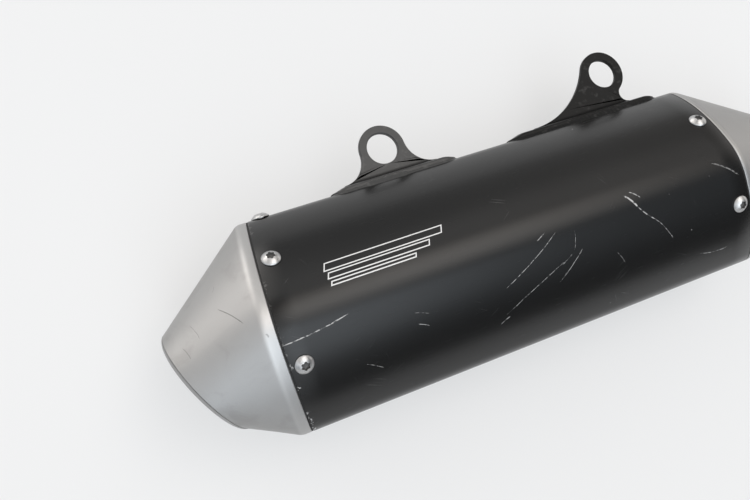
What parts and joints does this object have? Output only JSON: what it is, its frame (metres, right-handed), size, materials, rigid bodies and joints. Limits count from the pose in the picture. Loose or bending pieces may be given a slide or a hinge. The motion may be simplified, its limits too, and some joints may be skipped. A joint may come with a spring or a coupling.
{
  "type": "exhaust muffler",
  "caption": "Oval motorcycle exhaust silencer with a black sleeve, bare steel end cones, slip-on inlet and two hanger tabs.",
  "frame": {"origin": "centre of the inlet pipe's mouth, on the exhaust axis", "axes": "+X along the exhaust axis out of the inlet, -X towards the outlet, +Y towards the two hanger tabs, +Z the outer face, up when the muffler lies on its side"},
  "size_m": [0.4548, 0.1607, 0.097],
  "materials": {
    "anodised_sleeve": "satin black anodised",
    "anodised_hanger": "satin black anodised over a welded seam",
    "blasted_steel": "bead-blasted stainless",
    "inner_steel": "plain stainless, darkened by exhaust",
    "pipe_steel": "drawn stainless tube",
    "weld_steel": "rippled weld",
    "screw_steel": "turned stainless",
    "gasket": "matte",
    "steel_wool": "fibrous",
    "packing": "fibrous glass mat"
  },
  "bodies": {
    "root": {"sleeve": "anodised_sleeve", "rear_cap": "blasted_steel", "rear_cap_skirt": "inner_steel", "rear_cap_gasket": "gasket", "rear_cap_screws": "screw_steel", "rear_cap_nuts": "screw_steel", "rear_packing_plate": "inner_steel", "outlet_lip": "blasted_steel", "outlet_tube": "inner_steel", "spark_screen": "inner_steel", "screen_flange": "inner_steel", "screen_snap_ring": "screw_steel", "front_cap": "blasted_steel", "front_cap_skirt": "inner_steel", "front_cap_gasket": "gasket", "front_cap_screws": "screw_steel", "front_cap_nuts": "screw_steel", "front_packing_plate": "inner_steel", "inlet_pipe": "pipe_steel", "inlet_pipe_weld": "weld_steel", "core_tube": "inner_steel", "steel_wool": "steel_wool", "glass_packing": "packing", "rear_hanger_pad": "anodised_hanger", "rear_hanger_tab": "anodised_hanger", "rear_hanger_welds": "anodised_hanger", "front_hanger_pad": "anodised_hanger", "front_hanger_tab": "anodised_hanger", "front_hanger_welds": "anodised_hanger"}
  },
  "joints": []
}
